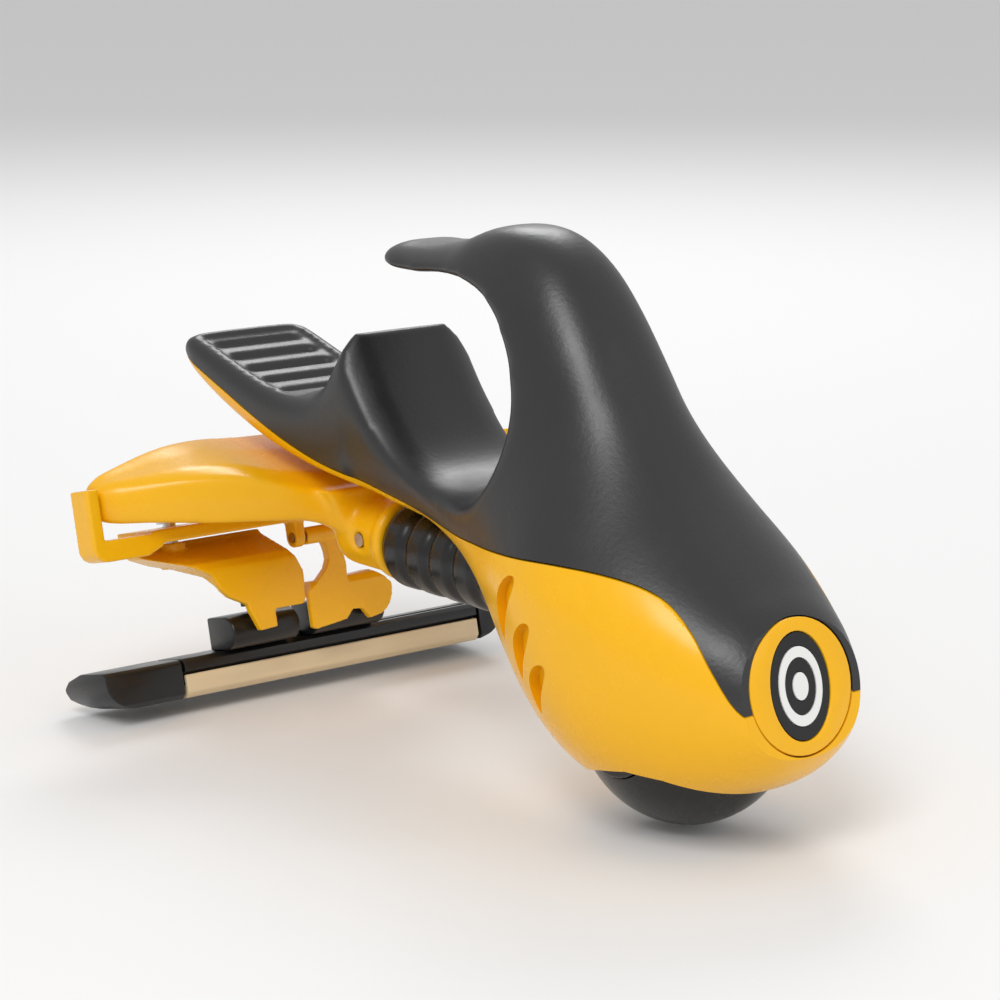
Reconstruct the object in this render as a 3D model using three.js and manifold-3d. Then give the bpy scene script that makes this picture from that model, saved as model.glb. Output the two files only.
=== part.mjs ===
// Finger-ring head razor: a curved grip with a hook for the finger, a rear roller,
// and a sprung, rocking blade head under the finger rest.
// Millimetres, +X towards the blade, +Y to the left, +Z up. The roller's axle is at X = 0
// while the pieces are made; the finished group is then centred over its own footprint.

import * as THREE from 'three';
import { mergeVertices } from 'three/addons/utils/BufferGeometryUtils.js';
import Module from 'manifold-3d';

const wasm = await Module();
wasm.setup();

// ---------------------------------------------------------------- driving dimensions

const GAP = 0.3;                 // between pieces that touch
const RUNNING = 0.08;            // radial, a shaft in its hole

const BALL_R = 9.0;              // roller, in the rolling plane
const BALL_HALF_WIDTH = 8.4;     // roller, sideways
const BALL_CLEARANCE = 0.6;
const BALL_CUT = 7.9;            // flat flanks of the roller, from the middle plane
const AXLE_R = 1.2;
const AXLE_HALF = 10.2;
const BUSH_R = 2.0;
const ROLLER_HUB_R = 4.0;
const HUB_CLEARANCE = 0.25;       // round the hub, in the shell

const SHELL_WALL = 1.9;
const BODY_HIGH_WIDTH = 7.2;     // half width of the hook
const CORE_THICKNESS = 4.6;      // inner rib of the hook, sideways

const BADGE_R = 5.25;
const BADGE_DEPTH = 1.3;
const BADGE_PITCH = THREE.MathUtils.degToRad(11.5);
const BADGE_AT = [-12.7, 13.7];  // X and Z of the middle of its face
const INLAY_HALF = [3.0, 4.1];   // oval inlay, sideways and up

const SCREW_R = 1.0;
const SCREW_HEAD_R = 1.9;
const SCREW_HEAD_H = 1.1;

const NECK_AT = [16.0, 16.2];    // X and Z of the neck's pivot
const NECK_R = 2.1;
const NECK_PIN_R = 1.0;
const BOOT_R = 3.8;
const BOOT_WALL = 0.9;
const BOOT_FRONT = 35.6;
const COLLAR_R = 3.7;
const COLLAR_FRONT = 43.0;

const SHIELD_HALF = 22.0;
const SHIELD_WALL = 1.4;

const HEAD_AT = [52.0, 7.42];    // X and Z of the blade pivot
const HEAD_PITCH = THREE.MathUtils.degToRad(13);

const ROLL_Z = 11.1;             // the rest are in the pitched frame of the head
const ROLL_PIN_R = 0.8;
const LUG_R = 1.4;
const EAR_X = [[-3.2, -2.0], [2.0, 3.2]];
const PLATE_Z = [7.9, 9.1];
const PLATE_X = [-4.0, 2.4];
const CLIP_X = [-4.0, -1.1];
const CLIP_WALL = 1.2;
const CLIP_OUTER = SHIELD_HALF + GAP + CLIP_WALL;  // the clips stand just outside the shield's ends
const CLIP_Z = [7.0, 13.4];
const LEG_INNER = 16.4;
const JAW_X = [-3.5, 2.4];
const JAW_SCREW = [1.1, 12.6];
const JAW_SCREW_R = 0.6;
const LATCH_PIN = [-3.0, 6.4];
const LATCH_PIN_R = 0.4;

const BAR_X = [-2.3, 2.0];
const BAR_Z = -1.2;              // the blade's pivot
const BAR_HALF_H = 1.5;
const BAR_Y = [-7.2, 9.6];
const BAR_BREAK = [0.4, 2.4];
const PLUNGER_AT = [-0.2, 6.2];
const PLUNGER_R = 0.8;

const CARTRIDGE_HALF = 22.1;
const CARTRIDGE_X = [-0.2, 7.3];
const CARTRIDGE_Z = [-6.3, -2.75];
const LEFT_CAP = 7.9;
const RIGHT_CAP = 2.6;
const STRIP_H = 2.1;
const STRIP_DEPTH = [0.5, 1.5];  // at its top and at its foot
const STRIP_FOOT = 1.1;
const RAIL_NECK_X = [1.1, 2.0];
const RAIL_X = [1.1, 3.8];
const RAIL_Y = [-6.8, 9.2];
const RAIL_DROP = 0.4;           // from the top of the cartridge down to the foot's flange
const RAIL_H = 1.0;
const BLADES_X = [2.3, 5.1];
const BLADE = [0.84, 0.25];      // width and thickness
const BLADE_COUNT = 3;
const BLADE_TILT = THREE.MathUtils.degToRad(22);

// ---------------------------------------------------------------- materials

const finish = (name, color, roughness, metalness = 0) =>
  new THREE.MeshStandardMaterial({ name, color, roughness, metalness });

const softBlack = () => finish('soft_black', 0x3c3d40, 0.5);
const yellow = () => finish('yellow', 0xf5a914, 0.3);
const blackPlastic = () => finish('black_plastic', 0x17181a, 0.35);
const rubber = () => finish('rubber', 0x101113, 0.3);
const steel = () => finish('steel', 0xb8bcc0, 0.3, 1);
const brass = () => finish('brass', 0xc9a24c, 0.35, 1);
const beige = () => finish('beige', 0xd6be91, 0.45);
const white = () => finish('white', 0xf0f0ee, 0.35);
const nylon = () => finish('nylon', 0x2b2c2e, 0.6);

// ---------------------------------------------------------------- solids

function solid(geometry) {
  const plain = new THREE.BufferGeometry();
  plain.setAttribute('position', geometry.getAttribute('position'));
  if (geometry.index) plain.setIndex(geometry.index);
  const merged = mergeVertices(plain, 1e-4);
  const index = merged.index.array;
  const kept = [];
  for (let i = 0; i < index.length; i += 3) {
    const [a, b, c] = index.slice(i, i + 3);
    if (a !== b && b !== c && c !== a) kept.push(a, b, c);
  }
  return new wasm.Manifold(new wasm.Mesh({
    numProp: 3,
    vertProperties: new Float32Array(merged.getAttribute('position').array),
    triVerts: new Uint32Array(kept),
  }));
}

function geometryOf(manifold) {
  const mesh = manifold.getMesh();
  const geometry = new THREE.BufferGeometry();
  geometry.setAttribute('position', new THREE.BufferAttribute(mesh.vertProperties, 3));
  geometry.setIndex(new THREE.BufferAttribute(mesh.triVerts, 1));
  geometry.computeVertexNormals();
  return geometry;
}

const join = (first, ...rest) => rest.reduce((sum, piece) => sum.add(piece), first);
const cut = (first, ...rest) => rest.reduce((left, piece) => left.subtract(piece), first);

function box([x0, x1], [y0, y1], [z0, z1]) {
  const geometry = new THREE.BoxGeometry(x1 - x0, y1 - y0, z1 - z0);
  return solid(geometry.translate((x0 + x1) / 2, (y0 + y1) / 2, (z0 + z1) / 2));
}

// A cylinder along X, Y or Z, from one coordinate to another.
function rod(axis, radius, from, to, [u, v], sides = 24) {
  const geometry = new THREE.CylinderGeometry(radius, radius, to - from, sides);
  const middle = (from + to) / 2;
  if (axis === 'x') geometry.rotateZ(-Math.PI / 2).translate(middle, u, v);
  if (axis === 'y') geometry.translate(u, middle, v);
  if (axis === 'z') geometry.rotateX(Math.PI / 2).translate(u, v, middle);
  return solid(geometry);
}

// An outline of [x, z] points, pushed out along Y.
function sideSlab(points, [y0, y1]) {
  const shape = new THREE.Shape(points.map(([x, z]) => new THREE.Vector2(x, z)));
  const geometry = new THREE.ExtrudeGeometry(shape, { depth: y1 - y0, bevelEnabled: false });
  return solid(geometry.rotateX(Math.PI / 2).translate(0, y1, 0));
}

// An outline of [y, z] points, pushed out along X.
function rearSlab(points, [x0, x1]) {
  const shape = new THREE.Shape(points.map(([y, z]) => new THREE.Vector2(y, z)));
  const geometry = new THREE.ExtrudeGeometry(shape, { depth: x1 - x0, bevelEnabled: false });
  return solid(geometry.rotateX(Math.PI / 2).rotateZ(Math.PI / 2).translate(x0, 0, 0));
}

// An outline of [x, y] points, pushed out along Z.
function planSlab(points, [z0, z1]) {
  const shape = new THREE.Shape(points.map(([x, y]) => new THREE.Vector2(x, y)));
  const geometry = new THREE.ExtrudeGeometry(shape, { depth: z1 - z0, bevelEnabled: false });
  return solid(geometry.translate(0, 0, z0));
}

function ellipsoid([rx, ry, rz], [x, y, z], wide = 32, high = 20) {
  const geometry = new THREE.SphereGeometry(1, wide, high).rotateX(Math.PI / 2);
  return solid(geometry.scale(rx, ry, rz).translate(x, y, z));
}

// A skin over rings of points that all have the same count, closed at both ends.
function loft(rings) {
  const count = rings[0].length;
  const positions = rings.flat().flatMap((point) => point.toArray());
  const index = [];
  for (let r = 0; r < rings.length - 1; r += 1) {
    for (let i = 0; i < count; i += 1) {
      const a = r * count + i;
      const b = r * count + ((i + 1) % count);
      index.push(a, b, a + count, b, b + count, a + count);
    }
  }
  const close = (ring, first, forward) => {
    const views = [['y', 'z'], ['x', 'z']].map(
      ([u, v]) => ring.map((point) => new THREE.Vector2(point[u], point[v])));
    const [across, along] = views.map((points) => THREE.ShapeUtils.area(points));
    const flat = Math.abs(across) > Math.abs(along) ? views[0] : views[1];
    const ringTurn = Math.sign(THREE.ShapeUtils.area(flat));
    for (const [p, q, r] of THREE.ShapeUtils.triangulateShape(flat, [])) {
      const turn = Math.sign(THREE.ShapeUtils.area([flat[p], flat[q], flat[r]]));
      const order = (turn === ringTurn) === forward ? [p, q, r] : [p, r, q];
      index.push(...order.map((i) => first + i));
    }
  };
  close(rings[0], 0, false);
  close(rings[rings.length - 1], (rings.length - 1) * count, true);
  const geometry = new THREE.BufferGeometry();
  geometry.setAttribute('position', new THREE.Float32BufferAttribute(positions, 3));
  geometry.setIndex(index);
  const made = solid(geometry);
  if (made.volume() > 0) return made;
  geometry.setIndex(index.reverse());
  return solid(geometry);
}

// ---------------------------------------------------------------- outlines

// A smooth function through [x, value] pairs.
function through(pairs) {
  const slope = (i) => {
    const a = pairs[Math.max(i - 1, 0)];
    const b = pairs[Math.min(i + 1, pairs.length - 1)];
    return (b[1] - a[1]) / (b[0] - a[0]);
  };
  return (x) => {
    const last = pairs.length - 1;
    if (x <= pairs[0][0]) return pairs[0][1];
    if (x >= pairs[last][0]) return pairs[last][1];
    const i = pairs.findIndex((pair, n) => n < last && x <= pairs[n + 1][0]);
    const [[x0, y0], [x1, y1]] = [pairs[i], pairs[i + 1]];
    const step = x1 - x0;
    const t = (x - x0) / step;
    const t2 = t * t;
    const t3 = t2 * t;
    return (2 * t3 - 3 * t2 + 1) * y0 + (t3 - 2 * t2 + t) * step * slope(i)
      + (3 * t2 - 2 * t3) * y1 + (t3 - t2) * step * slope(i + 1);
  };
}

const smoothstep = (x, from, to) => THREE.MathUtils.smoothstep(x, from, to);

// The body's side view: its upper and lower edge and its half width low down, against X.
const crest = through([
  [-15.2, 14.0], [-13.6, 16.6], [-11.5, 18.9], [-8.5, 20.9], [-5, 23.5], [-2, 25.9], [0.5, 28.2],
  [3, 31.2], [5.5, 34.6], [8, 38.2], [10.5, 41.4], [13, 43.8], [16, 45.3], [19, 45.7], [22, 45.3],
  [25, 44.2], [28, 43.6], [31, 43.3], [34.4, 42.9], [36.2, 40.6], [37.0, 36.6], [38.2, 34.0],
  [39.8, 31.4], [42, 29.8], [45, 29.1], [48.5, 29.2], [52, 29.9], [56, 31.0], [60, 32.1],
  [61.3, 32.2], [62, 31.4],
]);
const belly = through([
  [-15.2, 12.0], [-14.2, 9.0], [-12.5, 6.6], [-10, 4.9], [-6, 3.2], [0, 2.3], [5, 3.0], [9, 5.0],
  [12, 7.6], [15, 10.9], [18, 14.0], [22, 17.0], [27, 19.2], [33, 20.2], [40, 21.6], [47, 23.2],
  [52, 24.8], [56, 26.4], [59.5, 28.1], [61.3, 29.3], [62, 30.0],
]);
const lowWidth = through([
  [-15.2, 2.5], [-13.5, 5.6], [-11.5, 7.2], [-8.5, 8.9], [-5, 10.4], [-1, 11.6], [3, 12.2], [7, 12.1],
  [11, 11.3], [16, 9.9], [21, 8.7], [27, 7.8], [34, 7.2], [42, 7.0], [52, 7.0], [60, 6.8], [62, 6.3],
]);
const squareness = through([[-15.2, 2.2], [-8, 2.4], [8, 2.4], [20, 2.7], [36, 3.4], [45, 4.2], [62, 4.5]]);

// Where the soft grip meets the yellow shell.
const seam = through([
  [-17, 10.6], [-14, 11.6], [-12.4, 12.9], [-10.6, 15.4], [-8.4, 18.0], [-5.5, 20.2], [-2, 21.3],
  [3, 21.7], [9, 21.4], [15, 21.0], [21, 20.6], [26, 20.9], [31, 21.7], [38, 22.9], [45, 24.6],
  [50, 26.2], [55, 28.0], [60, 29.7], [64, 31.0],
]);

const halfWidth = (x, z) => THREE.MathUtils.lerp(
  lowWidth(x), BODY_HIGH_WIDTH, smoothstep(z, 18, 33) * (1 - smoothstep(x, 30, 44)));

function bodySection(x, inset, sides) {
  const [top, bottom] = [crest(x) - inset, belly(x) + inset];
  const [middle, half] = [(top + bottom) / 2, Math.max((top - bottom) / 2, 0.01)];
  const power = 2 / squareness(x);
  const bend = (value) => Math.sign(value) * Math.abs(value) ** power;
  return Array.from({ length: sides }, (_, i) => {
    const angle = (2 * Math.PI * (i + 0.5)) / sides;
    const z = middle + half * bend(Math.sin(angle));
    const width = Math.max(halfWidth(x, z) - inset, 0.02);
    return new THREE.Vector3(x, width * bend(Math.cos(angle)), z);
  });
}

function bodyLoft({ from = -15.2, to = 62, inset = 0, steps = 46, sides = 32 } = {}) {
  const rings = [];
  for (let i = 0; i <= steps; i += 1) {
    const even = i / steps;
    const along = even - (0.6 * Math.sin(2 * Math.PI * even)) / (2 * Math.PI);
    rings.push(bodySection(from + (to - from) * along, inset, sides));
  }
  return loft(rings);
}

// A band under or over the seam, as wide as the body.
function seamBand(above, away) {
  const line = [];
  for (let x = -17; x <= 64; x += 1.5) line.push([x, seam(x) + away]);
  const far = above ? 60 : -10;
  return sideSlab([...line, [64, far], [-17, far]], [-16, 16]);
}

// ---------------------------------------------------------------- finger ring

// The space for the finger in side view, with its mouth to the front.
const RING_MIDDLE = [25, 32.5];
const RING_EDGE = new THREE.SplineCurve([
  [36.9, 34.9], [35.2, 32.4], [32.8, 29.2], [29.4, 26.0], [25.4, 24.2], [20.8, 24.1], [17.4, 25.8], [15.5, 29.0],
  [15.0, 32.6], [16.0, 36.4], [18.4, 39.5], [21.8, 41.0], [25.6, 41.3], [29.4, 41.0], [33.0, 41.0], [36.6, 41.3],
].map(([x, z]) => new THREE.Vector2(x, z)));
const RING_MOUTH = [[54, 41.3], [54, 35.4]];
const RING = [...RING_EDGE.getSpacedPoints(44).map((point) => point.toArray()), ...RING_MOUTH];
const RING_FLARE = [[4, 1], [5.2, 1.025], [6.2, 1.07], [7.2, 1.14], [14, 1.4]];

function ringSpace() {
  const [cx, cz] = RING_MIDDLE;
  const sides = [...RING_FLARE.map(([y, flare]) => [-y, flare]).reverse(), ...RING_FLARE];
  const rings = sides.map(([y, flare]) => RING.map(
    ([x, z]) => new THREE.Vector3(cx + (x - cx) * flare, y, cz + (z - cz) * flare)));
  return loft(rings);
}

// Rounds the hook's end like a tongue, seen from above.
function tongueEnd() {
  const points = [[44, -14], [44, 14], [24, 14], [24, 5.4]];
  for (let i = 0; i <= 12; i += 1) {
    const angle = Math.PI / 2 - (Math.PI * i) / 12;
    points.push([30.8 + 5.3 * Math.cos(angle), 5.4 * Math.sin(angle)]);
  }
  points.push([24, -5.4], [24, -14]);
  return planSlab(points, [38.6, 50]);
}

const RIB_COUNT = 5;
const RIB_PITCH = 2.6;
const RIB_FIRST = 48.2;
const RIB_HALF = 4.6;
const RIB_DEPTH = 0.5;
const DISH = 0.7;

// The dished pad for the finger tip, and its cross ribs.
function fingerPad() {
  const at = (x) => crest(x) - DISH;
  const line = [];
  for (let x = 44.2; x <= 60.6; x += 1.64) line.push([x, at(x)]);
  const dish = sideSlab([...line, [60.6, 40], [44.2, 40]], [-5.4, 5.4]);
  const grooves = [];
  for (let i = 0; i < RIB_COUNT; i += 1) {
    const x = RIB_FIRST + i * RIB_PITCH;
    grooves.push(box([x, x + 1.1], [-RIB_HALF, RIB_HALF], [at(x) - RIB_DEPTH, at(x) + 3]));
  }
  return [dish, ...grooves];
}

// ---------------------------------------------------------------- hook core

const CORE_LINE = [[1.5, 20.2], [4.6, 25.5], [8.2, 31.2], [10.8, 36.0], [14.4, 40.9], [19.6, 43.4], [26.2, 42.4]];
const CORE_HALF = [[0, 2.4], [0.5, 2.0], [0.75, 1.2], [1, 0.8]];

function hookCore(clearance) {
  const curve = new THREE.SplineCurve(CORE_LINE.map(([x, z]) => new THREE.Vector2(x, z)));
  const half = through(CORE_HALF);
  const [left, right] = [[], []];
  const steps = 20;
  for (let i = 0; i <= steps; i += 1) {
    const t = i / steps;
    const point = curve.getPoint(t);
    const tangent = curve.getTangent(t);
    const reach = half(t) + clearance;
    if (i === 0) point.addScaledVector(tangent, -clearance * 4);
    if (i === steps) point.addScaledVector(tangent, clearance);
    left.push([point.x - tangent.y * reach, point.y + tangent.x * reach]);
    right.unshift([point.x + tangent.y * reach, point.y - tangent.x * reach]);
  }
  const side = CORE_THICKNESS / 2 + clearance;
  return sideSlab([...left, ...right], [-side, side]);
}

// ---------------------------------------------------------------- assembly helpers

const razor = new THREE.Group();
const head = new THREE.Group();
head.position.set(HEAD_AT[0], 0, HEAD_AT[1]);
head.rotation.y = HEAD_PITCH;
razor.add(head);

function place(name, shape, material, parent = razor) {
  const mesh = new THREE.Mesh(geometryOf(shape), material);
  mesh.name = name;
  parent.add(mesh);
  return mesh;
}

// Moves a solid out of the head's frame into the body's.
const headToBody = new THREE.Matrix4().makeRotationY(HEAD_PITCH)
  .setPosition(HEAD_AT[0], 0, HEAD_AT[1]);
const fromHead = (shape) => solid(geometryOf(shape).applyMatrix4(headToBody));

function coil(radius, wire, height, turns) {
  class Helix extends THREE.Curve {
    getPoint(t, target = new THREE.Vector3()) {
      const angle = 2 * Math.PI * turns * t;
      return target.set(radius * Math.cos(angle), radius * Math.sin(angle), height * t);
    }
  }
  const section = new THREE.Shape().absarc(0, 0, wire, 0, 2 * Math.PI);
  const steps = Math.round(turns * 12);
  const options = { steps, curveSegments: 3, bevelEnabled: false, extrudePath: new Helix() };
  return new THREE.ExtrudeGeometry(section, options);
}

function screw(name, [x, y, z], length, parent, material = steel()) {
  const shank = rod('z', SCREW_R, z, z + length, [x, y], 16);
  const top = rod('z', SCREW_HEAD_R, z, z + SCREW_HEAD_H, [x, y], 20);
  const slot = box([x - 1.3, x + 1.3], [y - 0.2, y + 0.2], [z - 1, z + 0.5]);
  const cross = box([x - 0.2, x + 0.2], [y - 1.3, y + 1.3], [z - 1, z + 0.5]);
  return place(name, cut(join(shank, top), slot, cross), material, parent);
}

function screwHole([x, y, z], length, deep = 3) {
  return join(
    rod('z', SCREW_R + RUNNING, z - deep, z + length + GAP, [x, y], 16),
    rod('z', SCREW_HEAD_R + GAP, z - deep, z + SCREW_HEAD_H + GAP, [x, y], 20));
}

// ---------------------------------------------------------------- roller

function roller() {
  const tyre = cut(
    ellipsoid([BALL_R, BALL_HALF_WIDTH, BALL_R], [0, 0, BALL_R], 36, 24),
    box([-12, 12], [BALL_CUT, 12], [-2, 22]),
    box([-12, 12], [-12, -BALL_CUT], [-2, 22]),
    rod('y', ROLLER_HUB_R + RUNNING, -12, 12, [0, BALL_R], 32));
  place('roller_tyre', tyre, rubber());
  const hub = rod('y', ROLLER_HUB_R, -BALL_CUT, BALL_CUT, [0, BALL_R], 32);
  const bore = rod('y', AXLE_R + RUNNING, -12, 12, [0, BALL_R]);
  place('roller_core', cut(hub, bore), blackPlastic());
  place('roller_axle', rod('y', AXLE_R, -AXLE_HALF, AXLE_HALF, [0, BALL_R]), steel());
  for (const [name, from, to] of [['axle_bush_left', BALL_CUT + GAP, 9.9], ['axle_bush_right', -9.9, -BALL_CUT - GAP]]) {
    place(name, cut(rod('y', BUSH_R, from, to, [0, BALL_R]), bore), brass());
  }
}

// Everything that the roller and its axle need inside the shell.
function rollerSpace() {
  const bushes = [1, -1].map((side) => {
    const ends = [side * (BALL_CUT - 1), side * (9.9 + GAP)].sort((a, b) => a - b);
    return rod('y', BUSH_R + RUNNING, ...ends, [0, BALL_R]);
  });
  const reach = BALL_HALF_WIDTH + BALL_CLEARANCE;
  return [
    ellipsoid([BALL_R + BALL_CLEARANCE, reach, BALL_R + BALL_CLEARANCE], [0, 0, BALL_R]),
    rod('y', ROLLER_HUB_R + HUB_CLEARANCE, -BALL_CUT - HUB_CLEARANCE, BALL_CUT + HUB_CLEARANCE, [0, BALL_R], 32),
    rod('y', AXLE_R + RUNNING, -AXLE_HALF - GAP, AXLE_HALF + GAP, [0, BALL_R]),
    ...bushes,
  ];
}

// ---------------------------------------------------------------- badge

// A round or oval plug on the badge's tilted axis, its outer face at a depth below the rear face.
function badgePlug([across, up], from, to, sides = 48) {
  const geometry = new THREE.CylinderGeometry(1, 1, to - from, sides);
  geometry.translate(0, (from + to) / 2, 0).rotateZ(Math.PI / 2).scale(1, across, up);
  geometry.rotateY(BADGE_PITCH).translate(BADGE_AT[0], 0, BADGE_AT[1]);
  return solid(geometry);
}

function badge() {
  const disc = badgePlug([BADGE_R, BADGE_R], -BADGE_DEPTH + GAP, 0);
  const inlayDepth = 0.7;
  const pocket = badgePlug([INLAY_HALF[0] + 0.1, INLAY_HALF[1] + 0.1], -inlayDepth - 0.1, 2);
  place('badge_ring', cut(disc, pocket), yellow());
  const inlay = badgePlug(INLAY_HALF, -inlayDepth, -0.1);
  const oval = (share) => INLAY_HALF.map((half) => half * share);
  const band = (grow) => cut(
    badgePlug(oval(0.74 + grow), -0.45 - grow, grow - 0.04),
    badgePlug(oval(0.54 - grow), -2, 2));
  const dot = (grow) => badgePlug(oval(0.26 + grow), -0.45 - grow, grow - 0.04);
  place('badge_inlay', cut(inlay, band(0.02), dot(0.02)), blackPlastic());
  place('badge_band', band(0), white());
  place('badge_dot', dot(0), white());
}

// ---------------------------------------------------------------- body

const CASE_SCREWS = [44.2, 54.6].map((x) => [x, 0, belly(x) + 0.3]);
const CASE_SCREW_LENGTH = 2.3;

// Recesses on the shell's flanks, each a drop that leans with the belly.
const DROPS = [
  { at: [8.6, 17.4], length: 5.6, width: 1.35 },
  { at: [6.2, 14.4], length: 5.0, width: 1.3 },
  { at: [4.4, 11.7], length: 4.4, width: 1.25 },
];
const DROP_LEAN = 0.35;
const DROP_DEPTH = 1.0;

function dropOutline({ at: [x, z], length, width }) {
  const points = [];
  const steps = 18;
  for (let i = 0; i < steps; i += 1) {
    const angle = (2 * Math.PI * i) / steps;
    const along = (length / 2) * Math.sin(angle);
    const swell = width * (0.62 + 0.38 * Math.sin(angle)) * Math.cos(angle);
    const bow = 0.5 * Math.cos((Math.PI * along) / length);
    points.push([x + swell + bow - DROP_LEAN * along, z + along]);
  }
  return points;
}

function dropRecesses() {
  const inner = bodyLoft({ from: -4, to: 20, inset: DROP_DEPTH, steps: 16 });
  return DROPS.map((drop) => cut(
    join(sideSlab(dropOutline(drop), [4, 16]), sideSlab(dropOutline(drop), [-16, -4])), inner));
}

const RIM = [
  [14, 0], [14, 4.2], [8.5, 4.4], [5.5, 4.6], [2.5, 5.1], [0, 5.8], [-3, 6.4], [-6, 6.2], [-8.6, 5.4],
  [-11, 4.6], [-18, 4.4], [-18, 0],
];
const TUB_X = [-10.6, 21];

function bodyPieces() {
  const whole = cut(bodyLoft(), badgePlug([20, 20], 0, 12));
  const badgePocket = badgePlug([BADGE_R + GAP / 2, BADGE_R + GAP / 2], -BADGE_DEPTH, 4);
  const holes = CASE_SCREWS.map((at) => screwHole(at, CASE_SCREW_LENGTH));

  const grip = cut(
    whole.intersect(seamBand(true, GAP / 2)),
    ringSpace(), tongueEnd(), ...fingerPad(), hookCore(GAP), badgePocket, ...holes);
  place('grip_shell', grip, softBlack());
  place('hook_core', hookCore(0), nylon());

  const tub = bodyLoft({ from: TUB_X[0], to: TUB_X[1], inset: SHELL_WALL, steps: 22, sides: 28 });
  const bosses = [1, -1].map((side) => {
    const ends = [side * (BALL_CUT + GAP), side * 11].sort((a, b) => a - b);
    return rod('y', BUSH_R + 1.2, ...ends, [0, BALL_R]).intersect(bodyLoft({ inset: 0.4 }));
  });
  const pinBosses = [1, -1].map((side) => {
    const ends = [side * (NECK_R + 0.9), side * 9].sort((a, b) => a - b);
    return rod('y', NECK_PIN_R + 1.2, ...ends, NECK_AT).intersect(bodyLoft({ inset: 0.4 }));
  });
  const springSeat = rod('z', SPRING_R + 0.7, 6, SPRING_SEAT, [SPRING_X, 0]).intersect(bodyLoft({ inset: 0.4 }));
  const shell = cut(
    join(cut(whole.intersect(seamBand(false, -GAP / 2)), tub), ...bosses, ...pinBosses, springSeat),
    sideSlab(RIM, [-16, 16]), ...rollerSpace(), ...dropRecesses(), badgePocket, hookCore(GAP),
    rod('x', BOOT_R + 0.8, NECK_AT[0] + 2.0, 40, [0, NECK_AT[1]], 32),
    box([NECK_AT[0] - 3, NECK_AT[0] + 4], [-2.6, 2.6], [NECK_AT[1] - 2.7, NECK_AT[1] + 3]),
    rod('y', NECK_PIN_R + RUNNING, -NECK_PIN_HALF - GAP, NECK_PIN_HALF + GAP, NECK_AT), ...holes);
  place('lower_shell', shell, yellow());

  CASE_SCREWS.forEach((at, i) => screw(`case_screw_${i + 1}`, at, CASE_SCREW_LENGTH, razor));
}

// ---------------------------------------------------------------- neck

const NECK_PIN_HALF = 6.2;
const TAIL = 6.0;
const TAIL_STOP = 0.5;           // room over the tail before it meets the grip
const SPRING_R = 1.3;
const SPRING_WIRE = 0.25;
const SPRING_X = NECK_AT[0] - 4.3;
const SPRING_SEAT = 11.0;

function neck() {
  const [px, pz] = NECK_AT;
  const bore = rod('y', NECK_PIN_R + RUNNING, -9, 9, NECK_AT);
  const eye = rod('y', NECK_R + 0.1, -NECK_R, NECK_R, NECK_AT);
  const bar = rod('x', NECK_R, px, COLLAR_FRONT - 2, [0, pz]);
  const tail = join(
    box([px - TAIL, px], [-1.6, 1.6], [pz - 1.3, pz + 0.6]),
    box([px - TAIL, px - TAIL + 1.4], [-1.6, 1.6], [pz - 1.3, seam(px - TAIL) - TAIL_STOP]));
  const crossBore = rod('y', COLLAR_PIN_R + RUNNING, -6, 6, [COLLAR_PIN_X, pz], 16);
  place('neck_arm', cut(join(eye, bar, tail), bore, crossBore), nylon());
  place('neck_pin', rod('y', NECK_PIN_R, -NECK_PIN_HALF, NECK_PIN_HALF, NECK_AT), steel());

  const [low, high] = [SPRING_SEAT + SPRING_WIRE + 0.15, pz - 1.3 - SPRING_WIRE - 0.15];
  place('neck_spring', solid(coil(SPRING_R, SPRING_WIRE, high - low, 3).translate(SPRING_X, 0, low)), steel());

  // The bellows: rings that step in and out along the neck.
  const [back, folds] = [px + 3.2, 5];
  const outer = [];
  const pitch = (BOOT_FRONT - back) / folds;
  for (let i = 0; i < folds; i += 1) {
    const x = back + i * pitch;
    outer.push([BOOT_R - 0.35, x], [BOOT_R, x + 0.35 * pitch], [BOOT_R, x + 0.75 * pitch]);
  }
  outer.push([BOOT_R - 0.2, BOOT_FRONT]);
  const inner = outer.map(([r, x]) => [r - BOOT_WALL, x]).reverse();
  const profile = [...outer, ...inner, outer[0]].map(([r, x]) => new THREE.Vector2(r, x));
  const boot = new THREE.LatheGeometry(profile, 32).rotateZ(-Math.PI / 2).translate(0, 0, pz);
  place('neck_boot', solid(boot), rubber());
}

// ---------------------------------------------------------------- shield

const shieldRear = (y) => 40.8 + 10.4 * (Math.abs(y) / SHIELD_HALF) ** 1.6;
const shieldFront = (y) => 57.5 - 3.2 * (Math.abs(y) / SHIELD_HALF) ** 2;
const shieldTop = through([[0, 23.0], [5, 23.2], [10, 23.6], [14, 23.4], [18, 22.7], [22, 21.9]]);
const bandTop = through([[0, 20.4], [6, 20.9], [11, 22.2], [16, 22.3], [22, 21.2]]);
const bandBottom = through([[0, 14.0], [1.6, 14.7], [3.4, 16.5], [5.5, 17.6], [8, 17.9], [15, 18.0], [18.5, 18.15], [22, 17.9]]);

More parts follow.
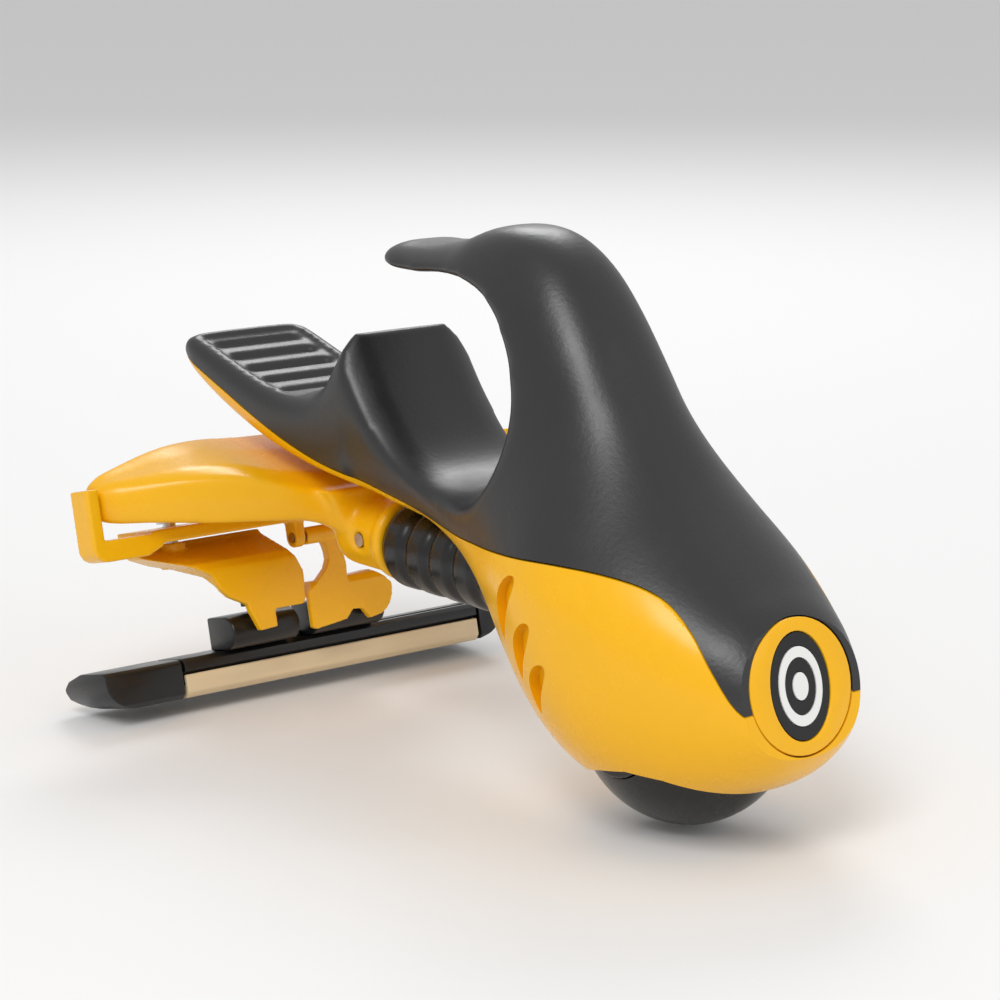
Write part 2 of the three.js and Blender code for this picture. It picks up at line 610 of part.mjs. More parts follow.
function shieldSection(y, shrink = 1) {
  const side = Math.abs(y);
  const [back, front] = [shieldRear(y), shieldFront(y)];
  const [top, high, low] = [shieldTop(side), bandTop(side), bandBottom(side)];
  const deep = front - back;
  const lip = top - Math.min(2.6, 0.7 * (top - low));
  const crown = back + 0.6 * deep;
  const wall = SHIELD_WALL;
  const outline = [
    [back, low], [back - 0.1, (low + high) / 2], [back + 0.3, high - 0.3],
    [back + 0.22 * deep, high + 0.35 * (top - high)], [crown, top - 0.4], [front - 1.2, top],
    [front, top - 0.9], [front, lip], [front - wall, lip], [front - wall - 0.3, top - wall - 0.2],
    [crown, top - wall - 0.5], [back + wall + 0.9, Math.min(high, top - wall) - 0.6], [back + wall, low],
  ];
  const [cx, cz] = [(back + front) / 2, (low + top) / 2];
  return outline.map(([x, z]) => new THREE.Vector3(
    cx + (x - cx) * shrink, y, cz + (z - cz) * shrink));
}

function shield() {
  const rings = [];
  const steps = 34;
  for (let i = 0; i <= steps; i += 1) {
    const y = -SHIELD_HALF + (2 * SHIELD_HALF * i) / steps;
    const near = 1 - Math.abs(y) / SHIELD_HALF;
    rings.push(shieldSection(y, near < 0.02 ? 0.82 : 1));
  }
  const [, nz] = NECK_AT;
  const middle = nz + 0.2;
  const collar = join(
    rod('x', COLLAR_R - 0.4, BOOT_FRONT + GAP + 0.8, COLLAR_FRONT, [0, middle], 32),
    rod('x', COLLAR_R, BOOT_FRONT + GAP, BOOT_FRONT + GAP + 1.1, [0, middle], 32),
    rearSlab([[-5.4, 20.6], [-3.2, middle], [3.2, middle], [5.4, 20.6]], [40.6, COLLAR_FRONT]));
  const ears = EAR_X.map((ends) => fromHead(join(
    box(ends, [-LUG_R, LUG_R], [ROLL_Z, 15.6]), rod('x', LUG_R, ...ends, [0, ROLL_Z]))));
  const top = loft(shieldUnder());
  const trimmed = ears.map((ear) => cut(ear, top));
  const pinBore = fromHead(rod('x', ROLL_PIN_R + RUNNING, -5, 5, [0, ROLL_Z]));
  const socket = rod('x', NECK_R + 0.15, 30, COLLAR_FRONT - 2 + GAP, [0, nz]);
  const collarPinBore = rod('y', COLLAR_PIN_R + RUNNING, -6, 6, [COLLAR_PIN_X, nz]);
  return place('shield', cut(join(loft(rings), collar, ...trimmed), socket, pinBore, collarPinBore), yellow());
}

// The space above the shield, so that nothing stands through its top.
function shieldUnder() {
  const rings = [];
  for (let y = -8; y <= 8; y += 2) {
    const points = [];
    for (let x = 36; x <= 64; x += 4) points.push([x, shieldTop(Math.abs(y)) - 0.5]);
    const outline = [...points, [64, 40], [36, 40]];
    rings.push(outline.map(([x, z]) => new THREE.Vector3(x, y, z)));
  }
  return rings;
}

const COLLAR_PIN_R = 0.6;
const COLLAR_PIN_X = 39.4;

// ---------------------------------------------------------------- head

// Half of the cradle seen from behind: the plate, the deeper leg at its end and the upright clip.
function cradleHalf(side) {
  const [low, high] = PLATE_Z;
  const [bottom, top] = CLIP_Z;
  const corner = 1.3;
  const floor = high - 0.25;       // clears the end of the shield as the cradle rolls
  const plate = [[-0.01, low], [LEG_INNER + 1, low], [LEG_INNER + 1, high], [-0.01, high]];
  const clip = [[CLIP_OUTER, top], [CLIP_OUTER - CLIP_WALL, top], [CLIP_OUTER - CLIP_WALL, floor],
    [LEG_INNER, floor], [LEG_INNER, low - 0.2], [LEG_INNER + 1.6, bottom]];
  for (let i = 0; i <= 4; i += 1) {
    const angle = (Math.PI / 2) * (i / 4);
    clip.push([CLIP_OUTER - corner + corner * Math.sin(angle), bottom + corner * (1 - Math.cos(angle))]);
  }
  const turned = (outline) => outline.map(([y, z]) => [side * y, z]);
  return join(rearSlab(turned(plate), PLATE_X), rearSlab(turned(clip), CLIP_X));
}

function cradle() {
  const [low, high] = PLATE_Z;
  const lugX = [EAR_X[0][1] + GAP, EAR_X[1][0] - GAP];
  const lug = join(box(lugX, [-LUG_R, LUG_R], [low, ROLL_Z]), rod('x', LUG_R, ...lugX, [0, ROLL_Z]));
  const latchEars = [[-4.3, -3.2], [1.5, 2.5]].map((ends) => join(
    box([-3.9, -2.1], ends, [LATCH_PIN[1], low + 0.3]), rod('y', 0.9, ...ends, LATCH_PIN)));
  const bores = [
    rod('x', ROLL_PIN_R + RUNNING, -6, 6, [0, ROLL_Z]),
    rod('y', LATCH_PIN_R + RUNNING, -5, 5, LATCH_PIN),
    rod('z', JAW_SCREW_R + RUNNING, 6, 10, JAW_SCREW, 16),
  ];
  place('cradle_plate', cut(join(cradleHalf(1), cradleHalf(-1), lug, ...latchEars), ...bores), yellow(), head);
  place('roll_pin', rod('x', ROLL_PIN_R, EAR_X[0][0] - 0.2, EAR_X[1][1] + 0.2, [0, ROLL_Z], 20), steel(), head);
}

// The fixed jaw: a hood that slopes back over the pivot bar, with a tab behind it.
function jaw() {
  const outline = [
    [17.4, 7.6], [16.6, 6.6], [13.2, 5.2], [11.7, 4.2], [11.0, 2.9], [10.2, 2.1], [9.0, 1.5], [8.4, 1.2], [8.2, 0.5],
    [7.4, -1.3], [5.6, -1.2], [5.6, 0.4], [2.5, 0.4], [2.2, 0.8], [2.0, 3.3], [2.6, 4.7], [3.0, 5.4], [3.0, 7.6],
  ];
  const hood = [
    [-3.5, -1.4], [-3.5, 4.8], [-3.0, 5.5], [1.0, 7.2], [1.4, 7.6], [2.4, 7.6], [2.4, 5.8], [-1.7, 4.2], [-2.7, 3.2],
    [-2.7, -1.4],
  ];
  const shell = rearSlab(outline, JAW_X).intersect(sideSlab(hood, [0, 20]));
  const tower = join(
    rod('z', PLUNGER_R + 0.7, 3.0, 5.6, PLUNGER_AT, 20), rod('z', 2 * JAW_SCREW_R, 5.3, 7.6, JAW_SCREW, 20));
  const bores = [
    rod('z', PLUNGER_R + RUNNING, 0, 5.7, PLUNGER_AT, 20),
    rod('z', JAW_SCREW_R + RUNNING, 5.0, 10, JAW_SCREW, 16),
  ];
  place('jaw_block', cut(join(shell, tower), ...bores), yellow(), head);
  const rest = BAR_Z + BAR_HALF_H + 0.6;
  place('pivot_plunger', rod('z', PLUNGER_R, rest, 3.6, PLUNGER_AT, 20), nylon(), head);
  const spring = coil(0.5, 0.14, 1.3, 4).translate(PLUNGER_AT[0], PLUNGER_AT[1], 3.95);
  place('plunger_spring', solid(spring), steel(), head);
  const screwTop = PLATE_Z[1] + GAP;
  const fixing = join(
    rod('z', JAW_SCREW_R, 5.4, screwTop, JAW_SCREW, 16),
    rod('z', 1.9 * JAW_SCREW_R, screwTop, screwTop + 0.5, JAW_SCREW, 20));
  place('jaw_screw', fixing, steel(), head);
}

// The release latch: a curved strap that hangs from its pin and ends in a half sleeve over the bar.
function latch() {
  const body = [[1.0, 2.2], [1.8, 1.3], [1.8, -1.9], [1.4, -2.1], [-0.4, -1.9], [-2.0, -1.7], [-2.8, -0.9], [-3.9, -1.0], [-4.6, -2.0]];
  for (let i = 1; i <= 5; i += 1) {
    const angle = (Math.PI / 2) * (i / 5);
    body.push([-5.2 - 2.3 * Math.sin(angle), 0.5 - 2.4 * Math.cos(angle)]);
  }
  body.push([-7.5, 0.9], [-6.6, 1.8], [-5.9, 2.4], [-2.8, 2.2]);
  const sleeveSide = [
    [-3.5, -3], [-3.5, 1.6], [-3.1, 2.1], [-2.4, 2.4], [-1.2, 2.4], [-1.2, 1.6], [-2.2, 1.5], [-2.8, 0.8], [-2.8, -3],
  ];
  const sleeve = rearSlab(body, JAW_X).intersect(sideSlab(sleeveSide, [-10, 5]));
  const strap = rearSlab([
    [1.3, 1.6], [0.3, 2.5], [-0.5, 3.2], [-0.9, 4.0], [-0.8, 5.0], [-0.6, 5.6], [0.9, 5.9], [0.9, 6.7], [-2.2, 6.7],
    [-2.2, 5.4], [-2.6, 4.4], [-2.75, 3.5], [-2.7, 1.6],
  ], [JAW_X[0], JAW_X[0] + 0.9]);
  const knuckle = rod('y', 0.8, -2.9, 1.2, LATCH_PIN, 20);
  const bore = rod('y', LATCH_PIN_R + RUNNING, -5, 5, LATCH_PIN, 16);
  place('release_latch', cut(join(sleeve, strap, knuckle), bore), yellow(), head);
  place('latch_pin', rod('y', LATCH_PIN_R, -4.2, 2.6, LATCH_PIN, 16), steel(), head);
}

function pivotBar() {
  const [back, front] = BAR_X;
  const points = [[front, BAR_Z - BAR_HALF_H], [front, BAR_Z + BAR_HALF_H]];
  const middle = back + BAR_HALF_H;
  for (let i = 0; i <= 12; i += 1) {
    const angle = Math.PI / 2 + (Math.PI * i) / 12;
    points.push([middle + BAR_HALF_H * Math.cos(angle), BAR_Z + BAR_HALF_H * Math.sin(angle)]);
  }
  const top = CARTRIDGE_Z[1];
  const flange = top - RAIL_DROP;
  const base = BAR_Z - BAR_HALF_H + 0.4;
  const bars = [[BAR_Y[0], BAR_BREAK[0]], [BAR_BREAK[1], BAR_Y[1]]].map((ends) => sideSlab(points, ends));
  const foot = join(
    box(RAIL_NECK_X, RAIL_Y, [flange - RAIL_H, base]),
    box(RAIL_X, RAIL_Y, [flange - RAIL_H, flange]));
  place('pivot_bar', join(...bars, foot), blackPlastic(), head);
}

// The slot that the foot slides along, open at the right-hand end.
function railSlot() {
  const top = CARTRIDGE_Z[1];
  const along = [-CARTRIDGE_HALF - 2, RAIL_Y[1] + GAP];
  const grow = ([low, high]) => [low - 0.25, high + 0.25];
  return join(
    box(grow(RAIL_NECK_X), along, [top - 1.2, 0]),
    box(grow(RAIL_X), along, grow([top - RAIL_DROP - RAIL_H, top - RAIL_DROP])));
}

function cartridge() {
  const [x0, x1] = CARTRIDGE_X;
  const [z0, z1] = CARTRIDGE_Z;
  const outline = [
    [x0, z0 + 0.5], [x0 + 0.5, z0], [x1 - 1.8, z0 + 0.1], [x1, z0 + 1.2], [x1, z1 - 1.3], [x1 - 0.9, z1 - 0.6], [x0 + 4.4, z1],
    [x0 + 0.4, z1], [x0, z1 - 0.4],
  ];
  const leftEnd = CARTRIDGE_HALF - LEFT_CAP;
  const rightEnd = -CARTRIDGE_HALF + RIGHT_CAP;
  const frameSpan = [rightEnd + GAP, leftEnd - GAP];
  const stripSpace = join(
    box([x0 - 1, x0 + STRIP_DEPTH[0] + GAP], [-30, 30], [z0 - 1, z0 + STRIP_H + GAP]),
    box([x0 - 1, x0 + STRIP_DEPTH[1] + GAP], [-30, 30], [z0 - 1, z0 + STRIP_FOOT + GAP]));
  const guardSpace = box([x1 - 2.1, x1 + 1], [-30, 30], [z0 - 1, z0 + 1.3]);
  const bladeSpace = box(BLADES_X, [-30, 30], [z0 - 1, z0 + 1.5]);
  const pocket = bladeSpace.intersect(box([-5, 20], [frameSpan[0] + 1, frameSpan[1] - 1], [-10, 2]));
  const frame = cut(sideSlab(outline, frameSpan), railSlot(), stripSpace, guardSpace, pocket);
  place('cartridge_frame', frame, blackPlastic(), head);

  // The ends are rounded up from below.
  const [out, up] = [CARTRIDGE_HALF, 3.2];
  const ends = [[-out, z1 + 1], [out, z1 + 1]];
  for (const side of [1, -1]) {
    for (let i = 0; i <= 6; i += 1) {
      const angle = (Math.PI / 2) * (side > 0 ? i / 6 : 1 - i / 6);
      ends.push([side * (out - up * (1 - Math.cos(angle))), z0 + up * 0.8 * (1 - Math.sin(angle))]);
    }
  }
  const rounded = rearSlab(ends, [x0 - 1, x1 + 1]);
  place('end_cap_left', sideSlab(outline, [leftEnd, CARTRIDGE_HALF]).intersect(rounded), blackPlastic(), head);
  place('end_cap_right', cut(sideSlab(outline, [-CARTRIDGE_HALF, rightEnd]).intersect(rounded), railSlot()), blackPlastic(), head);

  const [thin, deep] = STRIP_DEPTH.map((depth) => x0 + depth);
  const strip = [
    [x0, z0 + 0.5], [x0 + 0.5, z0], [deep, z0], [deep, z0 + STRIP_FOOT], [thin, z0 + STRIP_FOOT], [thin, z0 + STRIP_H],
    [x0, z0 + STRIP_H],
  ];
  place('lubricating_strip', sideSlab(strip, frameSpan), beige(), head);
  const guard = [[x1 - 1.8, z0 + 0.1], [x1 - 0.4, z0 + 1.0], [x1 - 1.8, z0 + 1.0]];
  place('guard_strip', sideSlab(guard, frameSpan), rubber(), head);

  const pitch = (BLADES_X[1] - BLADES_X[0]) / BLADE_COUNT;
  for (let i = 0; i < BLADE_COUNT; i += 1) {
    const [width, thick] = BLADE;
    const blade = new THREE.BoxGeometry(width, frameSpan[1] - frameSpan[0] - 3, thick);
    blade.rotateY(BLADE_TILT);
    blade.translate(BLADES_X[0] + pitch * (i + 0.5), (frameSpan[0] + frameSpan[1]) / 2, z0 + 0.6);
    place(`blade_${i + 1}`, solid(blade), steel(), head);
  }
}

// ---------------------------------------------------------------- assembly

bodyPieces();
roller();
badge();
neck();
shield();
place('collar_pin', rod('y', COLLAR_PIN_R, -3.1, 3.1, [COLLAR_PIN_X, NECK_AT[1]], 16), steel());
cradle();
jaw();
latch();
pivotBar();
cartridge();

razor.updateMatrixWorld(true);
const extent = new THREE.Box3().setFromObject(razor);
razor.position.x = -(extent.min.x + extent.max.x) / 2;
razor.updateMatrixWorld(true);

export default razor;
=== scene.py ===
import math

import bmesh
import bpy
from bpy.props import FloatProperty, FloatVectorProperty, IntProperty, PointerProperty
from bpy.types import Operator, Panel, PropertyGroup
from mathutils import Matrix, Vector
from mathutils.kdtree import KDTree


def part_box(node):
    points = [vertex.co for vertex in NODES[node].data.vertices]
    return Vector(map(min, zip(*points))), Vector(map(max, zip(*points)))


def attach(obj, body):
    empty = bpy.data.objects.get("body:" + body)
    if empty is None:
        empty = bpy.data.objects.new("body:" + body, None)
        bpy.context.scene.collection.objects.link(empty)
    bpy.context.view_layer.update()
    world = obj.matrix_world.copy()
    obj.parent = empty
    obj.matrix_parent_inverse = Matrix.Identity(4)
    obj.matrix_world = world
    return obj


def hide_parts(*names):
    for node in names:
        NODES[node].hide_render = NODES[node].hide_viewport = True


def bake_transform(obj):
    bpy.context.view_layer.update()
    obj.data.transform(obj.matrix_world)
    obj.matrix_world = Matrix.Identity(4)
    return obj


bl_info = {
    "name": "Finger-ring head razor",
    "version": (1, 0, 0),
    "blender": (4, 5, 0),
    "location": "View3D > Sidebar > Razor",
    "description": "Builds the looks of a finger-ring head razor round its packed frame",
    "category": "Object",
}

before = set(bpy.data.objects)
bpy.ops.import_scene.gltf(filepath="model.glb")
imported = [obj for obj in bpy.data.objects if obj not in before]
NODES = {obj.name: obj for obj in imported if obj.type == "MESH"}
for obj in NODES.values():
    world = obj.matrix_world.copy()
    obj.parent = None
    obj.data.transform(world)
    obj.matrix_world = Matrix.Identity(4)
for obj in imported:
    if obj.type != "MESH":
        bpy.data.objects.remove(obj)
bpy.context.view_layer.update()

# Shapes are made in millimetres with the roller's axle over X = 0, and then put in the frame.
AXLE = sum(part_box("roller_axle"), Vector()) / 2
TO_FRAME = Matrix.Translation((AXLE.x, 0, 0)) @ Matrix.Scale(0.001, 4)


# ------------------------------------------------------------------ outlines


def through(pairs):
    """A smooth function through (x, value) pairs."""

    def slope(i):
        a, b = pairs[max(i - 1, 0)], pairs[min(i + 1, len(pairs) - 1)]
        return (b[1] - a[1]) / (b[0] - a[0])

    def at(x):
        if x <= pairs[0][0]:
            return pairs[0][1]
        if x >= pairs[-1][0]:
            return pairs[-1][1]
        i = next(n for n in range(len(pairs) - 1) if x <= pairs[n + 1][0])
        (x0, y0), (x1, y1) = pairs[i], pairs[i + 1]
        step = x1 - x0
        t = (x - x0) / step
        return (
            (2 * t**3 - 3 * t**2 + 1) * y0
            + (t**3 - 2 * t**2 + t) * step * slope(i)
            + (3 * t**2 - 2 * t**3) * y1
            + (t**3 - t**2) * step * slope(i + 1)
        )

    return at


def ease(x, low, high):
    """0 up to low, 1 from high on, and a smooth step between them."""
    t = min(max((x - low) / (high - low), 0), 1)
    return t * t * (3 - 2 * t)


def spline(points, count):
    """Evenly spaced points on a smooth open curve through 2-D points."""
    ends = [points[0], *points, points[-1]]
    fine = []
    for a, b, c, d in zip(ends, ends[1:], ends[2:], ends[3:]):
        a, b, c, d = map(Vector, (a, b, c, d))
        for n in range(24):
            t = n / 24
            fine.append(
                0.5 * ((2 * b) + (c - a) * t + (2 * a - 5 * b + 4 * c - d) * t**2
                       + (3 * b - a - 3 * c + d) * t**3)
            )
    fine.append(Vector(points[-1]))
    reach = [0]
    for p, q in zip(fine, fine[1:]):
        reach.append(reach[-1] + (q - p).length)
    found, i = [], 0
    for n in range(count + 1):
        want = reach[-1] * n / count
        while i < len(reach) - 2 and reach[i + 1] < want:
            i += 1
        share = (want - reach[i]) / max(reach[i + 1] - reach[i], 1e-9)
        found.append(fine[i].lerp(fine[i + 1], share))
    return found


BODY_REAR, BODY_FRONT = -15.2, 62

# The body's side view: upper edge, lower edge and half width against X, and how square it is.
crest = through([
    (-15.2, 14.0), (-13.6, 16.6), (-11.5, 18.9), (-8.5, 20.9), (-5, 23.5), (-2, 25.9), (0.5, 28.2),
    (3, 31.2), (5.5, 34.6), (8, 38.2), (10.5, 41.4), (13, 43.8), (16, 45.3), (19, 45.7), (22, 45.3),
    (25, 44.2), (28, 43.6), (31, 43.3), (34.4, 42.9), (36.2, 40.6), (37.0, 36.6), (38.2, 34.0),
    (39.8, 31.4), (42, 29.8), (45, 29.1), (48.5, 29.2), (52, 29.9), (56, 31.0), (60, 32.1),
    (61.3, 32.2), (62, 31.4),
])
belly = through([
    (-15.2, 12.0), (-14.2, 9.0), (-12.5, 6.6), (-10, 4.9), (-6, 3.2), (0, 2.3), (5, 3.0), (9, 5.0),
    (12, 7.6), (15, 10.9), (18, 14.0), (22, 17.0), (27, 19.2), (33, 20.2), (40, 21.6), (47, 23.2),
    (52, 24.8), (56, 26.4), (59.5, 28.1), (61.3, 29.3), (62, 30.0),
])
low_width = through([
    (-15.2, 2.5), (-13.5, 5.6), (-11.5, 7.2), (-8.5, 8.9), (-5, 10.4), (-1, 11.6), (3, 12.2),
    (7, 12.1), (11, 11.3), (16, 9.9), (21, 8.7), (27, 7.8), (34, 7.2), (42, 7.0), (52, 7.0),
    (60, 6.8), (62, 6.3),
])
squareness = through([
    (-15.2, 2.2), (-8, 2.4), (8, 2.4), (20, 2.7), (36, 3.4), (45, 4.2), (62, 4.5),
])
seam = through([
    (-17, 10.6), (-14, 11.6), (-12.4, 12.9), (-10.6, 15.4), (-8.4, 18.0), (-5.5, 20.2), (-2, 21.3),
    (3, 21.7), (9, 21.4), (15, 21.0), (21, 20.6), (26, 20.9), (31, 21.7), (38, 22.9), (45, 24.6),
    (50, 26.2), (55, 28.0), (60, 29.7), (64, 31.0),
])
HIGH_WIDTH = 7.2
RING_MIDDLE = (25, 32.5)
RING_EDGE = [
    (36.9, 34.9), (35.2, 32.4), (32.8, 29.2), (29.4, 26.0), (25.4, 24.2), (20.8, 24.1), (17.4, 25.8),
    (15.5, 29.0), (15.0, 32.6), (16.0, 36.4), (18.4, 39.5), (21.8, 41.0), (25.6, 41.3), (29.4, 41.0),
    (33.0, 41.0), (36.6, 41.3),
]
RING_FLARE = [(4, 1), (5.2, 1.025), (6.2, 1.07), (7.2, 1.14), (14, 1.4)]


def half_width(x, z):
    """The body's half width: its own below, and one slim width where the ring stands up."""
    high = ease(z, 18, 33) * (1 - ease(x, 30, 44))
    return low_width(x) * (1 - high) + HIGH_WIDTH * high


def body_section(x, inset, sides):
    """A rounded-square section across the body, drawn in by an inset."""
    top, bottom = crest(x) - inset, belly(x) + inset
    middle, half = (top + bottom) / 2, max((top - bottom) / 2, 0.01)
    power = 2 / squareness(x)

    def bend(value):
        return math.copysign(abs(value) ** power, value)

    found = []
    for i in range(sides):
        angle = 2 * math.pi * (i + 0.5) / sides
        z = middle + half * bend(math.sin(angle))
        width = max(half_width(x, z) - inset, 0.02)
        found.append(Vector((x, width * bend(math.cos(angle)), z)))
    return found


# ------------------------------------------------------------------ making shapes


def loft(sections):
    """A closed skin over closed sections that all have the same count of points."""
    made = bmesh.new()
    turn = made.verts.layers.int.new("turn")
    ring = bmesh.ops.create_circle(made, segments=len(sections[0]), radius=1)["verts"]
    for i, vert in enumerate(ring):
        vert[turn] = i
        vert.co = sections[0][i]
    edges = list(made.edges)
    for section in sections[1:]:
        geom = bmesh.ops.extrude_edge_only(made, edges=edges)["geom"]
        verts = {g for g in geom if isinstance(g, bmesh.types.BMVert)}
        for vert in verts:
            vert.co = section[vert[turn]]
        edges = [g for g in geom if isinstance(g, bmesh.types.BMEdge) and set(g.verts) <= verts]
    rims = [edge for edge in made.edges if edge.is_boundary]
    bmesh.ops.holes_fill(made, edges=rims, sides=0)
    bmesh.ops.recalc_face_normals(made, faces=made.faces)
    made.verts.layers.int.remove(made.verts.layers.int["turn"])
    return made


def body_loft(start=BODY_REAR, end=BODY_FRONT, inset=0, steps=150, sides=96):
    """The body's skin between two places, with its sections closer together at both ends."""
    crowding = 0.6
    sections = []
    for i in range(steps + 1):
        even = i / steps
        along = even - crowding * math.sin(2 * math.pi * even) / (2 * math.pi)
        sections.append(body_section(start + (end - start) * along, inset, sides))
    return loft(sections)


def prism(outline, near, far, place):
    """An outline pushed out between two depths; place(u, v, depth) gives the point."""
    made = bmesh.new()
    verts = bmesh.ops.create_circle(made, segments=len(outline), radius=1, cap_ends=True)["verts"]
    for vert, (u, v) in zip(verts, outline):
        vert.co = place(u, v, near)
    moved = bmesh.ops.extrude_face_region(made, geom=list(made.faces))["geom"]
    shift = Vector(place(0, 0, far)) - Vector(place(0, 0, near))
    bmesh.ops.translate(made, vec=shift, verts=[g for g in moved if isinstance(g, bmesh.types.BMVert)])
    bmesh.ops.recalc_face_normals(made, faces=made.faces)
    return made


def side_prism(outline, low, high):
    return prism(outline, low, high, lambda u, v, depth: Vector((u, depth, v)))


def plan_prism(outline, low, high):
    return prism(outline, low, high, lambda u, v, depth: Vector((u, v, depth)))


def block(x, y, z):
    made = bmesh.new()
    bmesh.ops.create_cube(made, size=1)
    bmesh.ops.scale(made, vec=(x[1] - x[0], y[1] - y[0], z[1] - z[0]), verts=made.verts)
    bmesh.ops.translate(made, vec=[sum(pair) / 2 for pair in (x, y, z)], verts=made.verts)
    return made


def turned(profile, steps=96, axis=(1, 0, 0), centre=(0, 0, 0)):
    """A full spin of (reach, along) points; the profile is in the plane of X and Z."""
    made = bmesh.new()
    verts = [made.verts.new((along, 0, reach)) for reach, along in profile]
    edges = [made.edges.new(pair) for pair in zip(verts, verts[1:])]
    bmesh.ops.spin(
        made, geom=verts + edges, cent=(0, 0, 0), axis=(1, 0, 0), angle=2 * math.pi, steps=steps,
        use_merge=True, use_duplicate=False,
    )
    bmesh.ops.remove_doubles(made, verts=made.verts, dist=1e-4)
    bmesh.ops.recalc_face_normals(made, faces=made.faces)
    turn = Vector((1, 0, 0)).rotation_difference(Vector(axis)).to_matrix().to_4x4()
    bmesh.ops.transform(made, matrix=Matrix.Translation(centre) @ turn, verts=made.verts)
    return made


def rod(radius, start, end, axis, centre, steps=64):
    return turned([(0, start), (radius, start), (radius, end), (0, end)], steps, axis, centre)


def bring(name, made):
    """A bmesh as an object in the scene."""
    mesh = bpy.data.meshes.new(name)
    made.to_mesh(mesh)
    made.free()
    piece = bpy.data.objects.new(name, mesh)
    bpy.context.scene.collection.objects.link(piece)
    return piece


def discard(piece):
    """Removes an object and its mesh."""
    mesh = piece.data
    bpy.data.objects.remove(piece)
    bpy.data.meshes.remove(mesh)


def settle(piece):
    """Turns a piece's modifiers into its mesh."""
    bpy.context.view_layer.update()
    seen = piece.evaluated_get(bpy.context.evaluated_depsgraph_get())
    mesh = bpy.data.meshes.new_from_object(seen)
    piece.modifiers.clear()
    old = piece.data
    piece.data = mesh
    bpy.data.meshes.remove(old)
    return piece


def carve(piece, *tools, keep=False):
    """Cuts each tool out of the piece, or keeps only what they share."""
    for tool in tools:
        cutter = bring("cutter", tool)
        cut = piece.modifiers.new("carve", "BOOLEAN")
        cut.operation = "INTERSECT" if keep else "DIFFERENCE"
        cut.solver = "EXACT"
        cut.object = cutter
        settle(piece)
        discard(cutter)
    return piece


def remesh(piece, voxel, rounds):
    """Makes a piece one even skin, and smooths it."""
    shaper = piece.modifiers.new("remesh", "REMESH")
    shaper.mode = "VOXEL"
    shaper.voxel_size = voxel
    calm = piece.modifiers.new("calm", "SMOOTH")
    calm.factor = 0.5
    calm.iterations = rounds
    return settle(piece)


def relax_near(piece, points, reach, rounds):
    """Smooths a piece near some points, to round the edge that they follow."""
    tree = KDTree(len(points))
    for i, point in enumerate(points):
        tree.insert(point, i)
    tree.balance()
    group = piece.vertex_groups.new(name="near")
    for vert in piece.data.vertices:
        away = tree.find(vert.co)[2]
        if away < reach:
            group.add([vert.index], 1 - ease(away, reach * 0.35, reach), "REPLACE")
    calm = piece.modifiers.new("round", "SMOOTH")
    calm.factor = 0.5
    calm.iterations = rounds
    calm.vertex_group = "near"
    settle(piece)
    piece.vertex_groups.clear()
    return piece


def put(piece, body, nodes, slot, sharp=30, to_frame=False):
    """Puts a finished piece on its body, with the finish that its slot is named after."""
    if to_frame:
        piece.data.transform(TO_FRAME)
    piece.data.materials.clear()
    piece.data.materials.append(FINISHES[slot]())
    piece.data.shade_smooth()
    piece.data.set_sharp_from_angle(angle=math.radians(sharp))
    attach(piece, body)
    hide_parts(*nodes)
    return piece


def copy_of(node):
    """A merged copy of a CAD node's mesh."""
    made = bmesh.new()
    made.from_mesh(NODES[node].data)
    bmesh.ops.remove_doubles(made, verts=made.verts, dist=2e-6)
    return made


def softened(name, node, voxel, rounds):
    """A moulded copy of a CAD node, with its edges rounded over."""
    return remesh(bring(name, copy_of(node)), voxel * 1e-3, rounds)


def bevelled(name, node, width, segments=3, corner=30):
    """A copy of a CAD node with its sharp edges bevelled."""
    made = copy_of(node)
    bmesh.ops.dissolve_limit(
        made, angle_limit=math.radians(1.5), verts=made.verts, edges=made.edges,
    )
    sharp = [e for e in made.edges if e.is_manifold and e.calc_face_angle(0) > math.radians(corner)]
    bmesh.ops.bevel(
        made, geom=sharp, offset=width * 1e-3, offset_type="OFFSET", segments=segments, profile=0.5,
        affect="EDGES", clamp_overlap=True, material=-1,
    )
    return bring(name, made)


# ------------------------------------------------------------------ materials

GRAIN_HEIGHT = 0.0002                     # metres


def socket(group, name, kind, output=False, value=None):
    made = group.interface.new_socket(
        name=name, in_out="OUTPUT" if output else "INPUT", socket_type=kind)
    if value is not None:
        made.default_value = value
    return made


